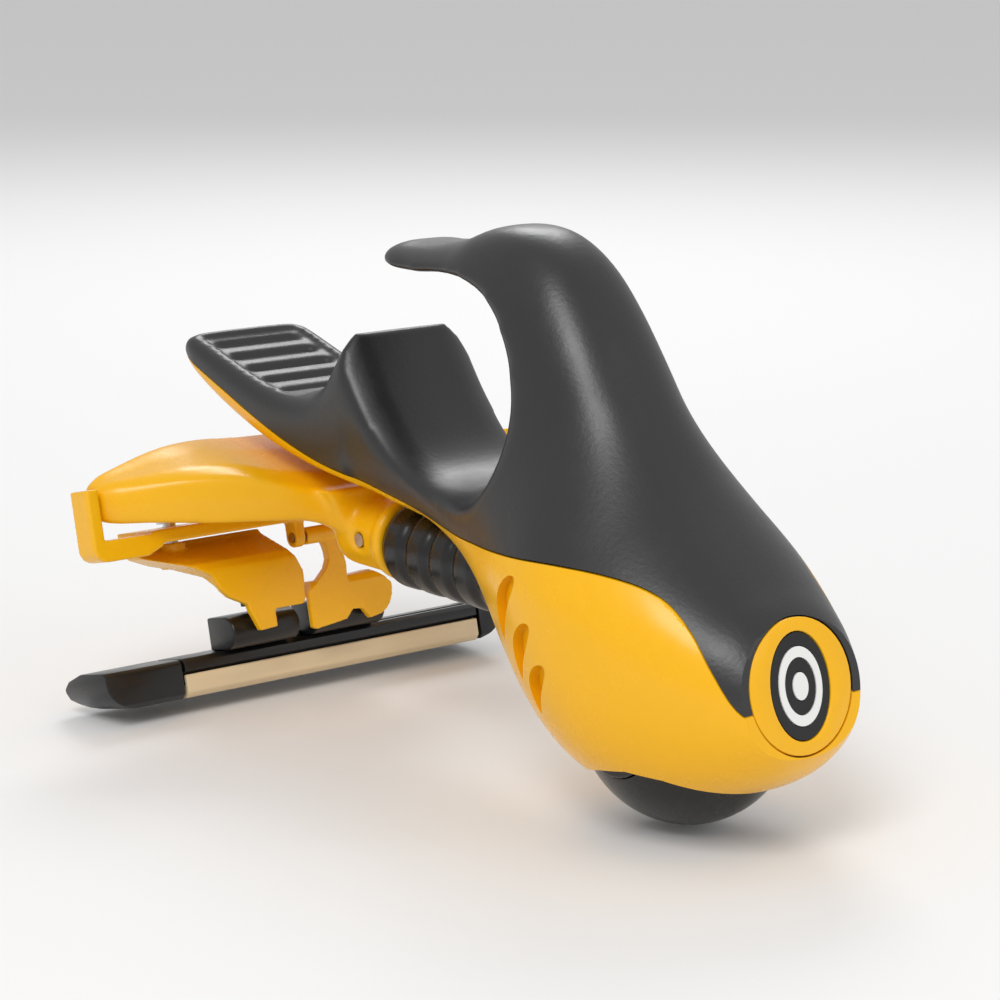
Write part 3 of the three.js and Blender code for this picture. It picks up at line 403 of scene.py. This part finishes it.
def surface_group():
    """Colour mottling, roughness change and a fine grain for moulded or ground pieces."""
    found = bpy.data.node_groups.get("moulded_surface")
    if found:
        return found
    group = bpy.data.node_groups.new("moulded_surface", "ShaderNodeTree")
    socket(group, "Colour", "NodeSocketColor", value=(0.5, 0.5, 0.5, 1))
    socket(group, "Mottle", "NodeSocketFloat", value=0.1)
    socket(group, "Roughness", "NodeSocketFloat", value=0.4)
    socket(group, "Handling", "NodeSocketFloat", value=0.1)
    socket(group, "Grain Scale", "NodeSocketFloat", value=1500)
    socket(group, "Stretch", "NodeSocketVector", value=(1, 1, 1))
    socket(group, "Colour", "NodeSocketColor", output=True)
    socket(group, "Roughness", "NodeSocketFloat", output=True)
    socket(group, "Height", "NodeSocketFloat", output=True)
    nodes, links = group.nodes, group.links
    given, sent = nodes.new("NodeGroupInput"), nodes.new("NodeGroupOutput")
    place = nodes.new("ShaderNodeTexCoord")
    stretch = nodes.new("ShaderNodeVectorMath")
    stretch.operation = "MULTIPLY"
    links.new(place.outputs["Object"], stretch.inputs[0])
    links.new(given.outputs["Stretch"], stretch.inputs[1])

    def noise(scale, detail):
        made = nodes.new("ShaderNodeTexNoise")
        made.inputs["Scale"].default_value = scale
        made.inputs["Detail"].default_value = detail
        links.new(stretch.outputs[0], made.inputs["Vector"])
        return made

    def sums(operation, a, b):
        made = nodes.new("ShaderNodeMath")
        made.operation = operation
        for given_value, into in zip((a, b), made.inputs):
            if isinstance(given_value, (int, float)):
                into.default_value = given_value
            else:
                links.new(given_value, into)
        return made.outputs[0]

    broad, fine = noise(130, 3), noise(900, 5)
    grain = noise(1500, 2)
    links.new(given.outputs["Grain Scale"], grain.inputs["Scale"])
    lift = sums("MULTIPLY", sums("SUBTRACT", broad.outputs["Fac"], 0.5), given.outputs["Mottle"])
    speck = sums("MULTIPLY", sums("SUBTRACT", fine.outputs["Fac"], 0.5), given.outputs["Mottle"])
    shade = sums("ADD", sums("ADD", 1.0, lift), speck)
    paint = nodes.new("ShaderNodeVectorMath")
    paint.operation = "SCALE"
    links.new(given.outputs["Colour"], paint.inputs[0])
    links.new(shade, paint.inputs["Scale"])
    links.new(paint.outputs[0], sent.inputs["Colour"])
    rub = sums("MULTIPLY", sums("SUBTRACT", broad.outputs["Fac"], 0.45), given.outputs["Handling"])
    rough = sums("ADD", given.outputs["Roughness"], rub)
    scuff = sums("MULTIPLY", sums("SUBTRACT", fine.outputs["Fac"], 0.5), given.outputs["Handling"])
    links.new(sums("ADD", rough, scuff), sent.inputs["Roughness"])
    links.new(grain.outputs["Fac"], sent.inputs["Height"])
    return group


def finish(name, colour, roughness, mottle, handling, grain, depth, stretch=(1, 1, 1), **shader_values):
    """A material whose colour, roughness and grain come from the shared surface group."""
    name = "razor_" + name                # the frame's own plain materials have the slots' names
    found = bpy.data.materials.get(name)
    if found:
        return found
    material = bpy.data.materials.new(name)
    material.use_nodes = True
    nodes, links = material.node_tree.nodes, material.node_tree.links
    shader = nodes["Principled BSDF"]
    for socket_name, value in shader_values.items():
        shader.inputs[socket_name.replace("_", " ")].default_value = value
    surface = nodes.new("ShaderNodeGroup")
    surface.node_tree = surface_group()
    surface.inputs["Colour"].default_value = (*colour, 1)
    surface.inputs["Mottle"].default_value = mottle
    surface.inputs["Roughness"].default_value = roughness
    surface.inputs["Handling"].default_value = handling
    surface.inputs["Grain Scale"].default_value = grain
    surface.inputs["Stretch"].default_value = stretch
    bump = nodes.new("ShaderNodeBump")
    bump.inputs["Strength"].default_value = depth
    bump.inputs["Distance"].default_value = GRAIN_HEIGHT
    links.new(surface.outputs["Colour"], shader.inputs["Base Color"])
    links.new(surface.outputs["Roughness"], shader.inputs["Roughness"])
    links.new(surface.outputs["Height"], bump.inputs["Height"])
    links.new(bump.outputs["Normal"], shader.inputs["Normal"])
    return material


def soft_black():
    colour = bpy.context.scene.razor_colours.grip
    return finish("soft_black", colour, 0.36, 0.16, 0.10, 2600, 0.08, Specular_IOR_Level=0.62)


def yellow():
    colour = bpy.context.scene.razor_colours.shell
    return finish(
        "yellow", colour, 0.26, 0.05, 0.08, 900, 0.02,
        Coat_Weight=0.12, Coat_Roughness=0.15, Specular_IOR_Level=0.35,
    )


def black_plastic():
    return finish("black_plastic", (0.006, 0.006, 0.0065), 0.30, 0.2, 0.12, 1800, 0.04)


def black_rubber():
    return finish("black_rubber", (0.006, 0.006, 0.006), 0.26, 0.2, 0.10, 2200, 0.05)


def nylon():
    return finish("nylon", (0.03, 0.03, 0.032), 0.5, 0.2, 0.1, 2400, 0.1)


def steel():
    return finish("steel", (0.62, 0.63, 0.64), 0.28, 0.1, 0.15, 1400, 0.08, (1, 0.06, 1), Metallic=1.0)


def brass():
    return finish("brass", (0.72, 0.5, 0.2), 0.3, 0.1, 0.12, 1600, 0.06, Metallic=1.0)


def beige():
    colour = bpy.context.scene.razor_colours.strip
    return finish("beige", colour, 0.42, 0.22, 0.1, 700, 0.12, (1, 0.1, 1))


def white():
    return finish("white", (0.82, 0.82, 0.8), 0.3, 0.03, 0.05, 2000, 0.02)


# The finish of each new piece, by the name of its slot.
FINISHES = {
    "soft_black": soft_black,
    "yellow": yellow,
    "black_plastic": black_plastic,
    "black_rubber": black_rubber,
    "nylon": nylon,
    "beige": beige,
}


def repaint(material, *nodes):
    """Gives CAD nodes a procedural material."""
    for node in nodes:
        NODES[node].data.materials.clear()
        NODES[node].data.materials.append(material)


# ------------------------------------------------------------------ settings


class RazorSizes(PropertyGroup):
    """How finely the new pieces are meshed, and how far their edges are rounded"""

    voxel: FloatProperty(
        name="Body voxel", description="Grain of the body's mesh", default=0.32e-3, min=0.2e-3,
        unit="LENGTH", precision=5)
    rim_reach: FloatProperty(
        name="Ring rounding", description="How far the finger ring's edge is rounded", default=2.4e-3,
        min=0.2e-3, unit="LENGTH", precision=5)
    rim_rounds: IntProperty(
        name="Ring smoothing", description="Passes that round the finger ring's edge", default=45, min=1)
    small_voxel: FloatProperty(
        name="Head voxel", description="Grain of the moulded head pieces", default=0.13e-3, min=0.08e-3,
        unit="LENGTH", precision=5)
    edge: FloatProperty(
        name="Edge bevel", description="Bevel on the small hard pieces", default=0.22e-3, min=0.02e-3,
        unit="LENGTH", precision=5)
    folds: IntProperty(name="Bellows folds", description="Folds in the neck's bellows", default=5, min=3)


class RazorColours(PropertyGroup):
    """Colours of the pieces that show most"""

    grip: FloatVectorProperty(
        name="Grip", description="Soft grip colour", subtype="COLOR", size=3, min=0, max=1,
        default=(0.016, 0.016, 0.017))
    shell: FloatVectorProperty(
        name="Shell", description="Moulded shell colour", subtype="COLOR", size=3, min=0, max=1,
        default=(0.90, 0.46, 0.003))
    strip: FloatVectorProperty(
        name="Strip", description="Lubricating strip colour", subtype="COLOR", size=3, min=0, max=1,
        default=(0.72, 0.57, 0.36))


def in_millimetres(length):
    """A length setting is in metres, and shapes are made in millimetres."""
    return length * 1000


# ------------------------------------------------------------------ body

BADGE_R = 5.25
BADGE_DEPTH = 1.3
BADGE_PITCH = math.radians(11.5)
BADGE_AT = (-12.7, 0, 13.7)
SHELL_WALL = 1.9
BALL_R, BALL_HALF_WIDTH, BALL_CUT, HUB_R = 9.0, 8.4, 7.9, 4.0
BODY_INSET = 0.08                         # keeps the skin inside the frame's box
BADGE_GAP, ROLLER_GAP, HUB_GAP, BOOT_GAP = 0.12, 0.6, 0.25, 0.8
SEAM_ABOVE, SEAM_BELOW = 0.1, -0.05       # where the grip and the shell end, from the seam
PAST_SIDES = 16                           # further out than any side of the body
DROPS = [(8.6, 17.4, 5.6, 1.35), (6.2, 14.4, 5.0, 1.3), (4.4, 11.7, 4.4, 1.25)]
DROP_LEAN = 0.35
DROP_SWELL = 1.12
DROP_BOW = 0.5
DROP_DEPTH = 1.0
SHELL_RIM = [
    (14, 0), (14, 4.2), (8.5, 4.4), (5.5, 4.6), (2.5, 5.1), (0, 5.8), (-3, 6.4), (-6, 6.2),
    (-8.6, 5.4), (-11, 4.6), (-18, 4.4), (-18, 0),
]
SHELL_HOLLOW = (-10.6, 21)
TONGUE_ROOT, TONGUE_REACH, TONGUE_HALF = 30.8, 5.3, 5.4
NECK_AT = (16.0, 16.2)
BOOT_R = 3.8
BOOT_FRONT = 35.6
BOOT_WALL = 0.8
FOLD_DEPTH = 0.45


def badge_plug(radius, start, end, steps=96):
    """A round plug square to the badge's face, from one depth to another."""
    back = Vector((-math.cos(BADGE_PITCH), 0, math.sin(BADGE_PITCH)))
    return rod(radius, start, end, back, BADGE_AT, steps)


def ring_outline():
    """The finger ring's inner edge, closed in front of its mouth."""
    front, high, low = 54, 41.3, 35.4
    return spline(RING_EDGE, 90) + [Vector((front, high)), Vector((front, low))]


def ring_space():
    """The space inside the finger ring, which widens towards both sides."""
    cx, cz = RING_MIDDLE
    sides = [(-y, flare) for y, flare in reversed(RING_FLARE)] + RING_FLARE
    outline = ring_outline()
    return loft([
        [Vector((cx + (p.x - cx) * flare, y, cz + (p.y - cz) * flare)) for p in outline]
        for y, flare in sides
    ])


def tongue_arc():
    """The round end of the hook's tongue, in plan."""
    angles = [math.pi / 2 - math.pi * i / 24 for i in range(25)]
    return [(TONGUE_ROOT + TONGUE_REACH * math.cos(a), TONGUE_HALF * math.sin(a)) for a in angles]


def tongue_end():
    """What is cut away round the tongue's end."""
    back, front, side = 24, 44, 14
    low, high = 38.6, 50
    outer = [(front, -side), (front, side), (back, side), (back, TONGUE_HALF)]
    return plan_prism([*outer, *tongue_arc(), (back, -TONGUE_HALF), (back, -side)], low, high)


def finger_pad():
    """The shallow dish of the finger rest, and the grooves across it."""
    back, front, step, top = 44.2, 60.6, 0.82, 40
    dish_depth, dish_half = 0.7, 5.4
    first, pitch, grooves = 48.2, 2.6, 5
    width, half, below, above = 1.1, 4.6, 0.5, 3

    def floor(x):
        return crest(x) - dish_depth

    line = [(back + step * i, floor(back + step * i)) for i in range(21)]
    dish = side_prism(line + [(front, top), (back, top)], -dish_half, dish_half)
    starts = [first + pitch * i for i in range(grooves)]
    return [dish] + [
        block((x, x + width), (-half, half), (floor(x) - below, floor(x) + above)) for x in starts
    ]


def rim_points():
    """Points along both edges of the finger ring and round the hook's tip."""
    cx, cz = RING_MIDDLE
    found = []
    for p in ring_outline()[:-2]:
        width = half_width(p.x, p.y)
        for flare in (1.0, 1.06, 1.12):
            point = (cx + (p.x - cx) * flare, cz + (p.y - cz) * flare)
            found += [Vector((point[0], side * width * 0.97, point[1])) for side in (1, -1)]
    for edge in tongue_arc():
        found += [Vector((*edge, z)) for z in (41.2, 42.2, 43)]
    return found


def seam_band(above, away):
    """All that lies above or below the seam, starting a little away from it."""
    start, end, steps = -17, 64, 160
    line = []
    for i in range(steps + 1):
        x = start + (end - start) * i / steps
        line.append((x, seam(x) + away))
    far = 60 if above else -10
    return side_prism(line + [(end, far), (start, far)], -PAST_SIDES, PAST_SIDES)


def drop_recess(x, z, length, width, side):
    """A leaning drop, fuller at its top, that reaches one even depth into the body's side."""
    outline = []
    for i in range(40):
        angle = 2 * math.pi * i / 40
        along = length / 2 * math.sin(angle)
        swell = DROP_SWELL * width * (0.66 + 0.34 * math.sin(angle)) * math.cos(angle)
        bow = DROP_BOW * math.cos(math.pi * along / length)
        outline.append((x + swell + bow - DROP_LEAN * along, z + along))
    recess = bring("recess", side_prism(outline, *sorted((side * 4, side * PAST_SIDES))))
    carve(recess, body_loft(-4, 20, DROP_DEPTH, 50, 96))
    made = bmesh.new()
    made.from_mesh(recess.data)
    discard(recess)
    return made


def body_form(sizes):
    """The whole body before it is parted at the seam."""
    form = bring("body_form", body_loft(inset=BODY_INSET))
    carve(form, ring_space(), tongue_end(), *finger_pad())
    remesh(form, in_millimetres(sizes.voxel), 5)
    relax_near(form, rim_points(), in_millimetres(sizes.rim_reach), sizes.rim_rounds)
    behind_badge = badge_plug(20, 0, 12, steps=64)
    return carve(form, behind_badge)


def twin(piece, name):
    """A second object with a mesh of its own."""
    other = piece.copy()
    other.data = piece.data.copy()
    other.name = name
    bpy.context.scene.collection.objects.link(other)
    return other


class RAZOR_OT_body(Operator):
    """Soft grip with the finger ring, and the moulded shell under it"""

    bl_idname = "razor.body"
    bl_label = "Body"

    def execute(self, context):
        form = body_form(context.scene.razor_sizes)
        form.name = "grip"
        shell = twin(form, "shell")
        pocket = (BADGE_R + BADGE_GAP, -BADGE_DEPTH, 4)
        carve(form, seam_band(True, SEAM_ABOVE), keep=True)
        carve(form, badge_plug(*pocket))
        put(form, "handle", ["grip_shell", "hook_core"], "soft_black", 40, to_frame=True)

        carve(shell, seam_band(False, SEAM_BELOW), keep=True)
        cavity = BALL_R + ROLLER_GAP
        ball = bmesh.new()
        bmesh.ops.create_uvsphere(ball, u_segments=64, v_segments=40, radius=1)
        bmesh.ops.scale(ball, vec=(cavity, BALL_HALF_WIDTH + ROLLER_GAP, cavity), verts=ball.verts)
        bmesh.ops.translate(ball, vec=(0, 0, BALL_R), verts=ball.verts)
        hub_end = BALL_CUT + HUB_GAP
        neck_x, neck_z = NECK_AT
        tools = [
            badge_plug(*pocket),
            body_loft(*SHELL_HOLLOW, SHELL_WALL, 60, 80),
            ball,
            rod(HUB_R + HUB_GAP, -hub_end, hub_end, (0, 1, 0), (0, 0, BALL_R)),
            side_prism(SHELL_RIM, -PAST_SIDES, PAST_SIDES),
            rod(BOOT_R + BOOT_GAP, neck_x + 2, 40, (1, 0, 0), (0, 0, neck_z)),
            block((neck_x - 3, neck_x + 4), (-2.6, 2.6), (neck_z - 2.7, neck_z + 3)),
        ]
        for drop in DROPS:
            tools += [drop_recess(*drop, side) for side in (1, -1)]
        carve(shell, *tools)
        put(shell, "handle", ["lower_shell"], "yellow", 40, to_frame=True)
        return {"FINISHED"}


class RAZOR_OT_roller(Operator):
    """Rubber roller with its hub"""

    bl_idname = "razor.roller"
    bl_label = "Roller"

    def execute(self, context):
        bore = HUB_R + 0.1
        profile = []
        steps = 144
        for i in range(steps + 1):                # the rubber's round outside, down to its bore
            angle = math.pi * (i / steps)
            along = -BALL_HALF_WIDTH * math.cos(angle)
            reach = BALL_R * math.sin(angle)
            if reach > bore + 0.05:
                profile.append((reach, along))
        first, last = profile[0][1], profile[-1][1]
        profile = [(bore, first), *profile, (bore, last), (bore, first)]
        tyre = bring("tyre", turned(profile, steps, (0, 1, 0), (0, 0, BALL_R)))
        put(tyre, "roller", ["roller_tyre"], "black_rubber", to_frame=True)
        put(bevelled("hub", "roller_core", 0.25), "roller", ["roller_core"], "black_plastic")
        return {"FINISHED"}


class RAZOR_OT_badge(Operator):
    """Round badge let into the rear, with an oval inlay"""

    bl_idname = "razor.badge"
    bl_label = "Badge"

    def execute(self, context):
        put(bevelled("badge", "badge_ring", 0.16, 3, 40), "handle", ["badge_ring"], "yellow")
        repaint(black_plastic(), "badge_inlay")
        repaint(white(), "badge_band", "badge_dot")
        return {"FINISHED"}


class RAZOR_OT_neck(Operator):
    """Ribbed bellows round the neck, and the arm inside it"""

    bl_idname = "razor.neck"
    bl_label = "Neck"

    def execute(self, context):
        folds = context.scene.razor_sizes.folds
        start, end = NECK_AT[0] + 3.2, BOOT_FRONT
        count = folds * 16
        outer = []
        for i in range(count + 1):
            along = i / count
            wave = 0.5 + 0.5 * math.cos(2 * math.pi * folds * along)
            outer.append((BOOT_R - FOLD_DEPTH * wave**4, start + (end - start) * along))
        inner = [(reach - BOOT_WALL, along) for reach, along in reversed(outer)]
        boot = bring("boot", turned([*outer, *inner, outer[0]], 96, (1, 0, 0), (0, 0, NECK_AT[1])))
        boot.data.transform(TO_FRAME)
        boot.data.materials.append(black_rubber())
        boot.data.shade_smooth()
        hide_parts("neck_boot")
        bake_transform(boot)
        put(bevelled("arm", "neck_arm", 0.15, 2, 40), "suspension", ["neck_arm"], "nylon")
        repaint(steel(), "neck_pin", "neck_spring", "collar_pin", "roll_pin")
        return {"FINISHED"}


class RAZOR_OT_shield(Operator):
    """Curved shield with the collar that holds it on the neck"""

    bl_idname = "razor.shield"
    bl_label = "Shield"

    def execute(self, context):
        shield = softened("shield_shell", "shield", 0.2, 40)
        put(shield, "suspension", ["shield"], "yellow", 60)
        return {"FINISHED"}


class RAZOR_OT_cradle(Operator):
    """Cradle with its clips, the fixed jaw, the release latch and their hardware"""

    bl_idname = "razor.cradle"
    bl_label = "Cradle"

    def execute(self, context):
        voxel = in_millimetres(context.scene.razor_sizes.small_voxel)
        cradle = softened("cradle_frame", "cradle_plate", voxel, 6)
        put(cradle, "cradle", ["cradle_plate"], "yellow", 60)
        jaw = softened("jaw", "jaw_block", voxel * 0.85, 6)
        put(jaw, "cradle", ["jaw_block"], "yellow", 60)
        latch = softened("latch_strap", "release_latch", voxel * 0.7, 5)
        put(latch, "latch", ["release_latch"], "yellow", 60)
        repaint(steel(), "jaw_screw", "latch_pin", "plunger_spring")
        repaint(nylon(), "pivot_plunger")
        return {"FINISHED"}


class RAZOR_OT_cartridge(Operator):
    """Pivot bar and the blade cartridge on its foot"""

    bl_idname = "razor.cartridge"
    bl_label = "Cartridge"

    def execute(self, context):
        edge = in_millimetres(context.scene.razor_sizes.edge)
        put(bevelled("bar", "pivot_bar", edge), "pivot", ["pivot_bar"], "black_plastic")
        for name, node in (("frame_rail", "cartridge_frame"), ("cap_left", "end_cap_left"),
                           ("cap_right", "end_cap_right")):
            put(bevelled(name, node, edge), "cartridge", [node], "black_plastic")
        strip = bevelled("strip", "lubricating_strip", 0.15)
        put(strip, "cartridge", ["lubricating_strip"], "beige")
        repaint(black_rubber(), "guard_strip")
        repaint(steel(), "blade_1", "blade_2", "blade_3")
        return {"FINISHED"}


class RAZOR_OT_hardware(Operator):
    """Axle, bushes and screws"""

    bl_idname = "razor.hardware"
    bl_label = "Hardware"

    def execute(self, context):
        repaint(steel(), "roller_axle", "case_screw_1", "case_screw_2")
        repaint(brass(), "axle_bush_left", "axle_bush_right")
        return {"FINISHED"}


# ------------------------------------------------------------------ stage

FLOOR_HALF = 4
FLOOR_DROP = 0.0005
SKY_STRENGTH = 0.62
LIGHTS = [                                # name, place, target, size and power, in metres and watts
    ("key", (-0.25, 0.35, 0.45), (0, 0, 0.02), (0.25, 0.25), 1.5),
    ("fill", (-0.45, -0.15, 0.25), (0, 0, 0.02), (0.3, 0.3), 0.25),
    ("rim", (0.3, -0.25, 0.35), (0, 0, 0.03), (0.2, 0.2), 0.7),
]
LENS, SENSOR = 108, 36
CAMERA_AT = (-168.2, 154.1, 74.3)
CAMERA_TURN, CAMERA_TILT = math.radians(51.2), math.radians(12)


def soft_light(name, place, target, size, power):
    """A rectangular light that faces its target."""
    lamp = bpy.data.lights.new(name, "AREA")
    lamp.shape = "RECTANGLE"
    lamp.size, lamp.size_y = size
    lamp.energy = power
    light = bpy.data.objects.new(name, lamp)
    bpy.context.scene.collection.objects.link(light)
    light.location = place
    light.rotation_mode = "QUATERNION"
    light.rotation_quaternion = (Vector(target) - Vector(place)).to_track_quat("-Z", "Y")


class RAZOR_OT_stage(Operator):
    """Pale floor, soft studio light and the camera"""

    bl_idname = "razor.stage"
    bl_label = "Stage"

    def execute(self, context):
        scene = context.scene
        floor = bmesh.new()
        bmesh.ops.create_grid(floor, x_segments=1, y_segments=1, size=FLOOR_HALF)
        floor = bring("floor", floor)
        floor.location.z = -FLOOR_DROP
        floor.data.materials.append(finish("floor_paper", (0.86, 0.86, 0.86), 0.9, 0.0, 0.0, 400, 0.0))

        world = bpy.data.worlds.new("studio")
        world.use_nodes = True
        sky = world.node_tree.nodes["Background"]
        sky.inputs["Color"].default_value = (1, 1, 1, 1)
        sky.inputs["Strength"].default_value = SKY_STRENGTH
        scene.world = world
        for light in LIGHTS:
            soft_light(*light)

        lens = bpy.data.cameras.new("camera")
        lens.lens, lens.sensor_width = LENS, SENSOR
        lens.clip_start, lens.clip_end = 0.01, 10
        camera = bpy.data.objects.new("camera", lens)
        scene.collection.objects.link(camera)
        level = Vector((math.sin(CAMERA_TURN), -math.cos(CAMERA_TURN), 0))
        forward = level * math.cos(CAMERA_TILT) - Vector((0, 0, math.sin(CAMERA_TILT)))
        camera.rotation_mode = "QUATERNION"
        camera.rotation_quaternion = forward.to_track_quat("-Z", "Y")
        camera.location = TO_FRAME @ Vector(CAMERA_AT)
        scene.camera = camera
        scene.view_settings.view_transform = "Standard"
        return {"FINISHED"}


class RAZOR_PT_tools(Panel):
    """Lists the settings and the steps in the sidebar"""

    bl_label = "Razor"
    bl_idname = "RAZOR_PT_tools"
    bl_space_type = "VIEW_3D"
    bl_region_type = "UI"
    bl_category = "Razor"

    def draw(self, context):
        for group in (context.scene.razor_sizes, context.scene.razor_colours):
            for name in group.__annotations__:
                self.layout.prop(group, name)
        for step in STEPS:
            self.layout.operator(step.bl_idname)


STEPS = [
    RAZOR_OT_body, RAZOR_OT_roller, RAZOR_OT_badge, RAZOR_OT_neck, RAZOR_OT_shield, RAZOR_OT_cradle,
    RAZOR_OT_cartridge, RAZOR_OT_hardware, RAZOR_OT_stage,
]
CLASSES = [RazorSizes, RazorColours, *STEPS, RAZOR_PT_tools]


def register():
    for item in CLASSES:
        bpy.utils.register_class(item)
    bpy.types.Scene.razor_sizes = PointerProperty(type=RazorSizes)
    bpy.types.Scene.razor_colours = PointerProperty(type=RazorColours)


def unregister():
    del bpy.types.Scene.razor_colours
    del bpy.types.Scene.razor_sizes
    for item in reversed(CLASSES):
        bpy.utils.unregister_class(item)


def main():
    register()
    for step in STEPS:
        group, name = step.bl_idname.split(".")
        getattr(getattr(bpy.ops, group), name)()
    bpy.context.view_layer.update()


if __name__ == "__main__":
    main()
